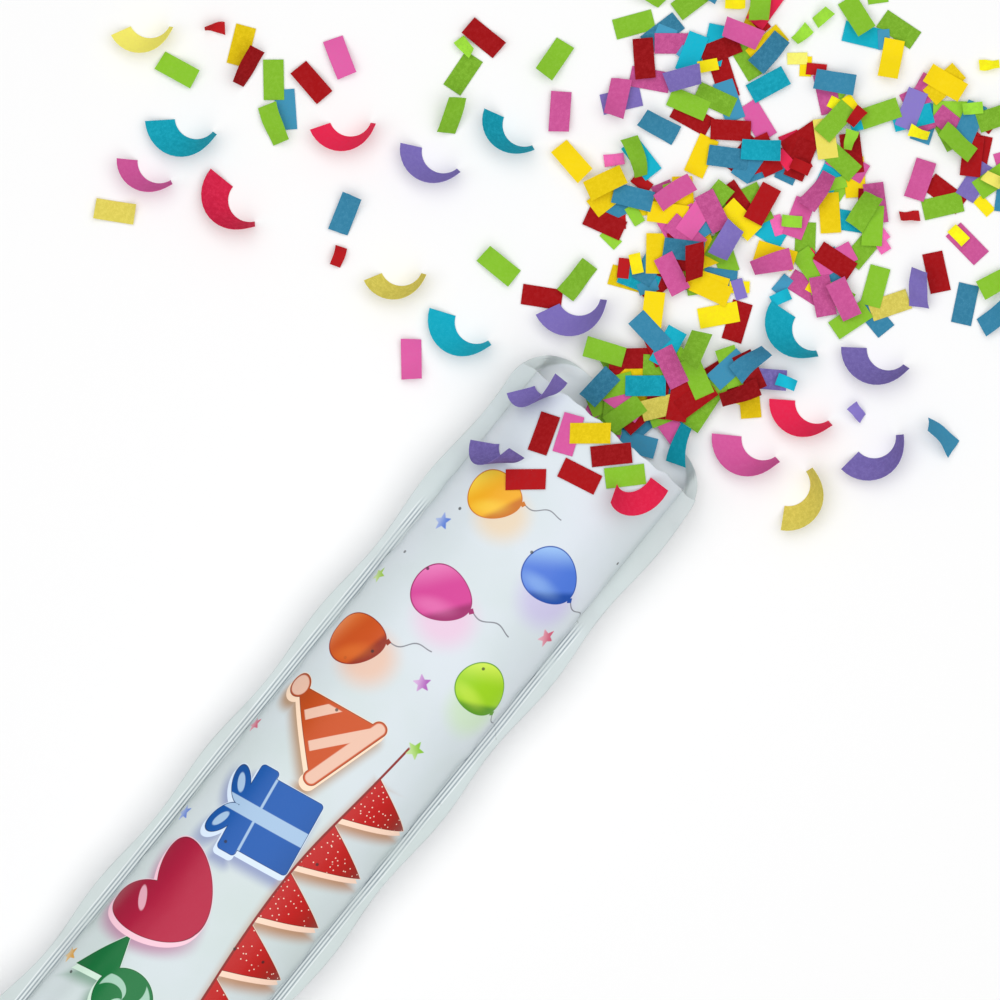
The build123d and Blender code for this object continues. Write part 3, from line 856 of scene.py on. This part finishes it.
y = side * across * np.where(x > TOP - TOP_CORNER, edge / uncut, 1)
in_fin = np.abs(y) >= HALF_CHORD
up_side = np.clip((np.abs(y) - strip) / (HALF_CHORD - strip), 0, 1)
z = np.where(in_fin, seam, seam - drop * np.sqrt(1 - up_side**2)) - FILM - SEAL_GAP
out_of_seam = np.clip(np.abs(y) - HALF_CHORD, 0, None)
z = z + fin_sway(x, side, np.clip(out_of_seam / np.maximum(uncut - HALF_CHORD, 0.001), 0, 1))
pucker = np.exp(-(1 - up_side) / BACK_PUCKER_REACH) * (1 - in_fin) * side_ripples(BACK_PUCKERS, side, x)
y = y + side * pucker * smooth((x - BOTTOM - BACK_CALM) / FIN_CALM) * (x < ROOT)
from_end = np.clip(x - BOTTOM - BOTTOM_SEAL, 0, None)
pleat = from_end / PLEAT_REACH * np.exp(1 - from_end / PLEAT_REACH) * ripples(BACK_PLEATS, y)
pleat = pleat * smooth((1 - up_side) * PLEAT_FADE) * (1 - in_fin)
z = z + pleat * smooth((BACK_PLEAT_END - from_end) / BACK_PLEAT_FADE)

# The burst seal: a shallow step round the lip where the band was welded, and an edge that lifts a little,
# but not where the confetti in the mouth weighs the lip down
from_edge = np.minimum(TOP - x, edge - np.abs(y))
band = smooth((SEAL_BAND - from_edge) / BAND_EDGE) * smooth((x - ROOT - BAND_START) / BAND_FADE)
edge_lift = smooth((EDGE_REACH - from_edge) / EDGE_REACH) * EDGE_RISE
edge_lift = edge_lift + ripples(EDGE_FLUTTER, y) * smooth((x - ROOT) / FLUTTER_FADE)
z = z + smooth((np.abs(y) - LOADED_HALF) / LOADED_FADE) * (band * BAND_RISE + opened * edge_lift)
z = np.maximum(z, 0)
flat_across = STRIP * on_strip + STRIP_ARC * turn * 2 / np.pi + fin * (HALF_WIDTH - HALF_CHORD)
set_flat_map(back_film, x, side * flat_across)
set_points(back_film, x, y, z)
thicken(back_film, FILM, face_down=True)
back_film.data.materials.append(film_material("plain_film", False))
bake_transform(back_film)
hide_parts("back_panel", "back_lip")

# Acid sachet: two clear films welded round a pillow of citric acid solution, loose inside the pouch.
# The upper film is crinkled, and the lower one lies flat on the back film under the liquid.
sachet_low, sachet_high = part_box("sachet_upper_film")
SACHET_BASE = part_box("sachet_lower_film")[0].z
SACHET_SEAL = 0.004
SACHET_TAPER = 0.012
SACHET_STRIP = 0.009
SACHET_FILM = 0.00012
SACHET_ROOM = 0.0004
SACHET_CHORD = sachet_high.y - SACHET_SEAL + SACHET_ROOM
SACHET_ROWS = 60
SACHET_SEAL_COLUMNS = 6
SACHET_COLUMNS = 34
CRINKLES = (102, (0.0061, 0.0093, 0.0043), 0.00025)
CRINKLE_SLANT = 0.4
CLEAR_SCALE = 300


def object_place(tree):
    """A point's place in the piece's own frame."""
    return Value(tree.nodes.new("ShaderNodeTexCoord").outputs["Object"])


@made_once({"place": PLACE, "least": NUMBER}, {"roughness": NUMBER})
def uneven_gloss(place, least):
    """The gloss of clear film and liquid, a little duller in places."""
    return [speckle(place, CLEAR_SCALE) * 0.1 + least]


def clear_material(name, colour, rough):
    """Clear film or liquid that shows what is behind it."""
    material, tree, shader = new_material(
        name, Base_Color=srgb(*colour), Transmission_Weight=0.55, IOR=1.35
    )
    put(shader.inputs["Roughness"], uneven_gloss(object_place(tree), rough)[0])
    return material


def sachet_film(name, node, upper):
    """One film of the sachet's pillow: crinkled above, lying flat below."""
    rows = np.linspace(sachet_low.x, sachet_high.x, SACHET_ROWS)
    columns = columns_of(
        (-2, -1, SACHET_SEAL_COLUMNS), (-1, 1, SACHET_COLUMNS), (1, 2, SACHET_SEAL_COLUMNS)
    )
    film, x, column = flat_grid(name, rows, columns)
    side = np.sign(column)
    seal = np.clip(np.abs(column) - 1, 0, 1) * (SACHET_SEAL - SACHET_ROOM)
    inside = np.minimum(x - sachet_low.x, sachet_high.x - x) - SACHET_SEAL
    swell = np.sin(np.pi / 2 * np.clip(inside / SACHET_TAPER, 0, 1))
    if upper:
        turn = np.clip(column, -1, 1) * np.pi / 2
        crinkle = ripples(CRINKLES, x + CRINKLE_SLANT * column * SACHET_CHORD) * swell
        y = SACHET_CHORD * np.sin(turn) + side * seal
        z = sachet_low.z + SACHET_FILM + (sachet_high.z - sachet_low.z - SACHET_FILM) * swell * np.cos(turn)
        z = z + (np.abs(crinkle) + SACHET_ROOM * swell) * np.cos(turn)
    else:
        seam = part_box(node)[1].z - SACHET_FILM
        flat = np.clip(np.abs(column) * 2, 0, 1) * SACHET_STRIP
        bent = np.clip(np.abs(column) * 2 - 1, 0, 1) * np.pi / 2
        y = side * (flat + (SACHET_CHORD - SACHET_STRIP) * np.sin(bent) + seal)
        z = np.maximum(seam - (seam - SACHET_BASE) * swell * np.cos(bent), SACHET_BASE)
    set_points(film, x, y, z)
    thicken(film, SACHET_FILM, face_down=not upper)
    film.data.materials.append(sachet_clear)
    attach(film, "sachet")
    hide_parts(node)


sachet_clear = clear_material("sachet_clear_film", (0.93, 0.96, 0.97), 0.12)
sachet_film("sachet_top", "sachet_upper_film", True)
sachet_film("sachet_base", "sachet_lower_film", False)
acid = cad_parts["acid_solution"]
acid.data.materials.clear()
acid.data.materials.append(clear_material("acid_water", (0.88, 0.94, 0.95), 0.02))

# Soda powder: a loose white heap of baking soda, poured onto the back film near the pouch's bottom seal.
# It is fine and dry, with soft lumps and a slope that flattens out at its foot.
HEAP_SLOPE = 1.25
HEAP_FULL = 0.95
# Lumps of the heap: height and number to a heap's half width
LUMPS = ((0.08, 3.1), (0.03, 11))
SODA_SCALE = 4000
SODA_RELIEF = 0.0002
SODA_TONES = ((0.90, 0.90, 0.88), (0.98, 0.98, 0.97))
heap_low, heap_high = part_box("soda_powder")
middle = (heap_low + heap_high) / 2
reach = (heap_high - heap_low) / 2
bpy.ops.object.select_all(action="DESELECT")
bpy.ops.mesh.primitive_uv_sphere_add(segments=72, ring_count=36, radius=1)
powder = bpy.context.object
powder.name = powder.data.name = "powder_heap"
bpy.ops.object.mode_set(mode="EDIT")
bpy.ops.mesh.select_all(action="SELECT")
bpy.ops.mesh.bisect(plane_co=(0, 0, 0), plane_no=(0, 0, 1), clear_inner=True, use_fill=True)
bpy.ops.object.mode_set(mode="OBJECT")
for vertex in powder.data.vertices:
    spot = vertex.co.copy()
    lump = sum(height * noise.noise(spot * number) for height, number in LUMPS)
    height = max(0, spot.z) ** HEAP_SLOPE * (1 + lump) * HEAP_FULL
    vertex.co = (middle.x + spot.x * reach.x, middle.y + spot.y * reach.y, heap_low.z + height * 2 * reach.z)
bpy.ops.object.shade_smooth()
soda, soda_tree, soda_shader = new_material("baking_soda", Roughness=0.95)
grains = speckle(object_place(soda_tree), SODA_SCALE, 2)
put(soda_shader.inputs["Base Color"], over(grains, *[srgb(*tone) for tone in SODA_TONES]))
set_bump(soda_shader, grains, SODA_RELIEF)
powder.data.materials.append(soda)
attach(powder, "pouch")
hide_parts("soda_powder")

# Tissue confetti: cut bits of coloured tissue paper, thrown from the mouth or left in it. Bits with
# nothing on them tilt, bow and twist, and long strips stand on edge in a curl that opens out at one end.
TISSUE = {
    "dark_red": (0.64, 0.05, 0.07),
    "rose": (0.89, 0.13, 0.29),
    "pink": (0.84, 0.35, 0.62),
    "lime": (0.53, 0.76, 0.18),
    "yellow": (0.97, 0.84, 0.05),
    "pale_yellow": (0.94, 0.88, 0.38),
    "teal": (0.06, 0.68, 0.78),
    "steel_blue": (0.22, 0.53, 0.67),
    "purple": (0.50, 0.44, 0.74),
}
LIP_COLOURS = ("dark_red", "pink", "lime", "yellow", "rose", "purple")
STRAY_COLOURS = ("dark_red", "purple")
TISSUE_PAPER = 0.0001
BIT_STEPS = (7, 3)
CURL_STEPS = (18, 5)
FLAT_CORNERS = 8
SCATTER_SEED = 5
MAX_BOW = 0.0014
MAX_TILT = 38
MAX_ROLL = 48
MAX_SKEW = 0.03
CREASE = 0.00025
OVER_FILM = 0.0003
FILM_LOOSE = 0.25
FILM_SETTLE = 0.65
CURL_FOOT = 0.007
CURL_HALF = math.radians(65)
CURL_WIDTH = 0.0092
CURL_FLAT = 80
CURL_UPRIGHT = 12
CURL_ENDS = 0.8
WIDE_END_TURN = 295
CURL_LIFTS = 5
CURL_ROOM = 0.012
BIT_REACH = 0.016
BIT_SAMPLES = (9, 7)
CHIP_REACH = 0.0085
CHIP_TINT = 0.7
BIT_TINT = 0.8
SMOOTH_UNDER = math.radians(50)
TISSUE_CLOUD = 800
TISSUE_FIBRE = 3200
TISSUE_RELIEF = 0.00012


@made_once(
    {"place": PLACE, "tint": NUMBER, "shade": COLOUR, "pale": COLOUR, "deep": COLOUR, "bright": COLOUR},
    {"colour": COLOUR, "height": NUMBER},
)
def tissue_grain(place, tint, shade, pale, deep, bright):
    """Tissue paper's cloudy, fibrous colour, with each bit's own tint, and its fine relief."""
    cloud = speckle(place, TISSUE_CLOUD, 3, 0.6)
    fibres = speckle(place, TISSUE_FIBRE, 2, 0.6)
    colour = over(fade(tint, 0, 0.6), deep, shade)
    colour = over(fade(tint, 0.6, 1), colour, bright)
    colour = over(fade(cloud, 0.35, 0.75) * 0.5, colour, pale)
    return over(fade(fibres, 0.55, 0.75) * 0.7, colour, pale), cloud + fibres


def tissue_material(colour):
    """Matte tissue paper of one colour."""
    material, tree, shader = new_material("tissue_" + colour, Roughness=0.85, Specular_IOR_Level=0.12)
    shade = TISSUE[colour]
    pale = srgb(*[0.91 * part + 0.09 for part in shade])
    deep = srgb(*[0.86 * part for part in shade])
    bright = srgb(*[min(1.12 * part + 0.05, 1) for part in shade])
    attribute = tree.nodes.new("ShaderNodeAttribute")
    attribute.attribute_name = "tint"
    tint = Value(attribute.outputs["Fac"])
    paint, height = tissue_grain(object_place(tree), tint, srgb(*shade), pale, deep, bright)
    put(shader.inputs["Base Color"], paint)
    set_bump(shader, height, TISSUE_RELIEF, 0.3)
    return material


def solids_of(node):
    """The separate solids of a CAD node, each as its points."""
    work = bmesh.new()
    work.from_mesh(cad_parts[node].data)
    bmesh.ops.remove_doubles(work, verts=work.verts, dist=1e-6)
    left = set(work.verts)
    solids = []
    while left:
        front = [left.pop()]
        solid = list(front)
        while front:
            near = [edge.other_vert(vertex) for vertex in front for edge in vertex.link_edges]
            front = [vertex for vertex in dict.fromkeys(near) if vertex in left]
            left.difference_update(front)
            solid += front
        solids.append(np.array(sorted(tuple(round(part, 6) for part in vertex.co) for vertex in solid)))
    work.free()
    return sorted(solids, key=lambda points: tuple(np.round(points.mean(axis=0), 6)))


def frame_of(points):
    """Middle, long way, short way and upward way of a flat bit, with its length and width."""
    middle = points.mean(axis=0)
    reach, ways = np.linalg.svd(points - middle)[1:]
    long, short = ways[0], ways[1]
    up = np.cross(long, short)
    if up[2] < 0:
        short, up = -short, -up
    length, width = 2 * reach[:2] / math.sqrt(len(points))
    return middle, long, short, up, length, width


def tissue_pattern(steps):
    """A flat strip of tissue one unit long and wide, to be copied and bent."""
    bpy.ops.object.select_all(action="DESELECT")
    bpy.ops.mesh.primitive_grid_add(x_subdivisions=steps[0], y_subdivisions=steps[1], size=1)
    pattern = bpy.context.object
    bpy.ops.object.modifier_add(type="SOLIDIFY")
    pattern.modifiers[-1].thickness = TISSUE_PAPER
    pattern.modifiers[-1].offset = 0
    bpy.ops.object.modifier_apply(modifier=pattern.modifiers[-1].name)
    return pattern


def copy_of(pattern, places):
    """A copy of a strip of tissue with its points in these places."""
    mesh = pattern.data.copy()
    mesh.vertices.foreach_set("co", places.astype(np.float32).ravel())
    return mesh


def strip_places(pattern):
    """Places along, across and through a strip of tissue."""
    return np.array([vertex.co[:] for vertex in pattern.data.vertices]).T


def film_way_up(x, y):
    """The way out of the front film over a point of the floor."""
    step = 1e-4
    slope_x = front_film_height(x + step, y) - front_film_height(x - step, y)
    slope_y = front_film_height(x, y + step) - front_film_height(x, y - step)
    way = np.array([-slope_x, -slope_y, 2 * step])
    return way / np.linalg.norm(way)


def tilted(flat, above, angle):
    """Places along one way and above it, turned by an angle."""
    cos, sin = math.cos(angle), math.sin(angle)
    return flat * cos - above * sin, above * cos + flat * sin


def bent_bit(draw, points, loose, on_film):
    """A bit of tissue in the place of its solid, tilted and bent where nothing lies on it."""
    middle, long, short, up, length, width = frame_of(points)
    u, v, t = strip_places(bit_pattern)
    bow = loose * draw.uniform(-1, 1) * MAX_BOW * (4 * u**2 - 0.5)
    twist = loose * draw.uniform(-1, 1) * MAX_BOW * 4 * u * v
    waves = draw.uniform(4, 9) * (u + draw.uniform(-1, 1) * v) + draw.uniform(0, 6)
    above = bow + twist + loose * CREASE * np.sin(waves) + t
    along, across = u * length + draw.uniform(-MAX_SKEW, MAX_SKEW) * v * width, v * width
    if not on_film:
        pitch = math.radians(loose * MAX_TILT * draw.uniform(-1, 1) ** 3)
        roll = math.radians(loose * MAX_ROLL * draw.uniform(-1, 1) ** 3)
        across, above = tilted(across, above, roll)
        along, above = tilted(along, above, pitch)
    above = above - above.min()
    places = middle + np.outer(along, long) + np.outer(across, short) + np.outer(above, up)
    if on_film:
        film = front_film_height(places[:, 0], places[:, 1]) + OVER_FILM
        settled = places[:, 2] - FILM_SETTLE * np.maximum(0, places[:, 2] - film)
        places[:, 2] = np.maximum(film + t, settled)
    return copy_of(bit_pattern, places)


def curled_strip(draw, points, on_film):
    """A strip that stands in a curl where its solid does, upright at one end and lying open at the other."""
    middle = points.mean(axis=0)
    up = film_way_up(middle[0], middle[1]) if on_film else np.array([0.0, 0.0, 1.0])
    plan = points - np.outer(points @ up, up)
    chord = np.linalg.svd(plan - plan.mean(axis=0))[2][0]
    round_way = np.cross(up, chord)
    along = (plan - plan.mean(axis=0)) @ chord
    ends = np.abs(along) > CURL_ENDS * np.abs(along).max()
    if (plan[~ends] @ round_way).mean() < (plan[ends] @ round_way).mean():
        round_way = -round_way
    chord = np.cross(round_way, up)
    foot = points[np.isclose(points @ up, (points @ up).min(), atol=2e-5)]
    centre = foot[np.argmax(foot @ round_way)] - CURL_FOOT * round_way
    u, v, t = strip_places(curl_pattern)
    wide_end = 1 if math.degrees(math.atan2(chord[1], chord[0])) % 360 < WIDE_END_TURN else -1
    opened = smooth(0.5 + wide_end * u) * draw.uniform(0.45, 1)
    lean = np.radians(CURL_UPRIGHT + (CURL_FLAT - CURL_UPRIGHT) * opened)
    turn = 2 * u * CURL_HALF * draw.uniform(0.95, 1.1)
    width = (v + 0.5) * CURL_WIDTH * draw.uniform(0.9, 1.1)
    out = CURL_FOOT + width * np.sin(lean) + t * np.cos(lean)
    rise = width * np.cos(lean) - t * np.sin(lean)
    places = centre + np.outer(out * np.sin(turn), chord) + np.outer(out * np.cos(turn), round_way)
    places = places + np.outer(rise - rise.min(), up)
    if on_film:
        for lift in range(CURL_LIFTS):
            film = front_film_height(places[:, 0], places[:, 1]) + OVER_FILM
            places = places + np.outer(np.maximum(0, film - places[:, 2]) * up[2], up)
    return copy_of(curl_pattern, places)


def lies_free(solid, others, curls):
    """Whether a flat bit has no other bit above any of it and no curl beside it."""
    middle, long, short, up, length, width = solid
    if any(np.hypot(*(curl - middle)[:2]) < CURL_ROOM for curl in curls):
        return False
    u, v = np.meshgrid(*[np.linspace(-0.5, 0.5, count) for count in BIT_SAMPLES])
    spots = middle + np.outer(u.ravel() * length, long) + np.outer(v.ravel() * width, short)
    for other in others:
        if other[0][2] <= middle[2] + 1e-5 or np.hypot(*(other[0] - middle)[:2]) > BIT_REACH:
            continue
        away = spots - other[0]
        if ((np.abs(away @ other[1]) < other[4] / 2) & (np.abs(away @ other[2]) < other[5] / 2)).any():
            return False
    return True


paper = {colour: tissue_material(colour) for colour in TISSUE}
bit_pattern = tissue_pattern(BIT_STEPS)
curl_pattern = tissue_pattern(CURL_STEPS)
bodies = {
    "confetti": ("confetti", TISSUE),
    "stray": ("pouch", STRAY_COLOURS),
    "lip": ("front_lip", LIP_COLOURS),
}
confetti_nodes = {
    name + "_" + colour: (body, colour) for name, (body, colours) in bodies.items() for colour in colours
}
solids = {node: solids_of(node) for node in confetti_nodes}
thrown = [points for node in confetti_nodes if node.startswith("confetti") for points in solids[node]]
flat_bits = [frame_of(points) for points in thrown if len(points) == FLAT_CORNERS]
curls = [points.mean(axis=0) for points in thrown if len(points) != FLAT_CORNERS]
draw = random.Random(SCATTER_SEED)
for node, (body, colour) in confetti_nodes.items():
    on_film = body != "confetti"
    bits = []
    for points in solids[node]:
        if len(points) == FLAT_CORNERS:
            loose = FILM_LOOSE if on_film else lies_free(frame_of(points), flat_bits, curls)
            mesh = bent_bit(draw, points, loose, on_film)
        else:
            mesh = curled_strip(draw, points, on_film)
        small = np.ptp(points, axis=0).max() < CHIP_REACH
        shade = CHIP_TINT + (1 - CHIP_TINT) * draw.random() if small else BIT_TINT * draw.random()
        tint = mesh.attributes.new("tint", "FLOAT", "POINT")
        tint.data.foreach_set("value", [shade] * len(mesh.vertices))
        bit = bpy.data.objects.new("bit", mesh)
        scene.collection.objects.link(bit)
        bits.append(bit)
    bpy.ops.object.select_all(action="DESELECT")
    for bit in bits:
        bit.select_set(True)
    bpy.context.view_layer.objects.active = bits[0]
    if len(bits) > 1:
        bpy.ops.object.join()
    piece = bpy.context.object
    piece.name = piece.data.name = "tissue_" + node
    piece.data.materials.clear()
    piece.data.materials.append(paper[colour])
    bpy.ops.object.shade_smooth_by_angle(angle=SMOOTH_UNDER)
    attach(piece, body)
    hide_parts(node)
    "tissue_" + colour
bpy.data.objects.remove(bit_pattern)
bpy.data.objects.remove(curl_pattern)
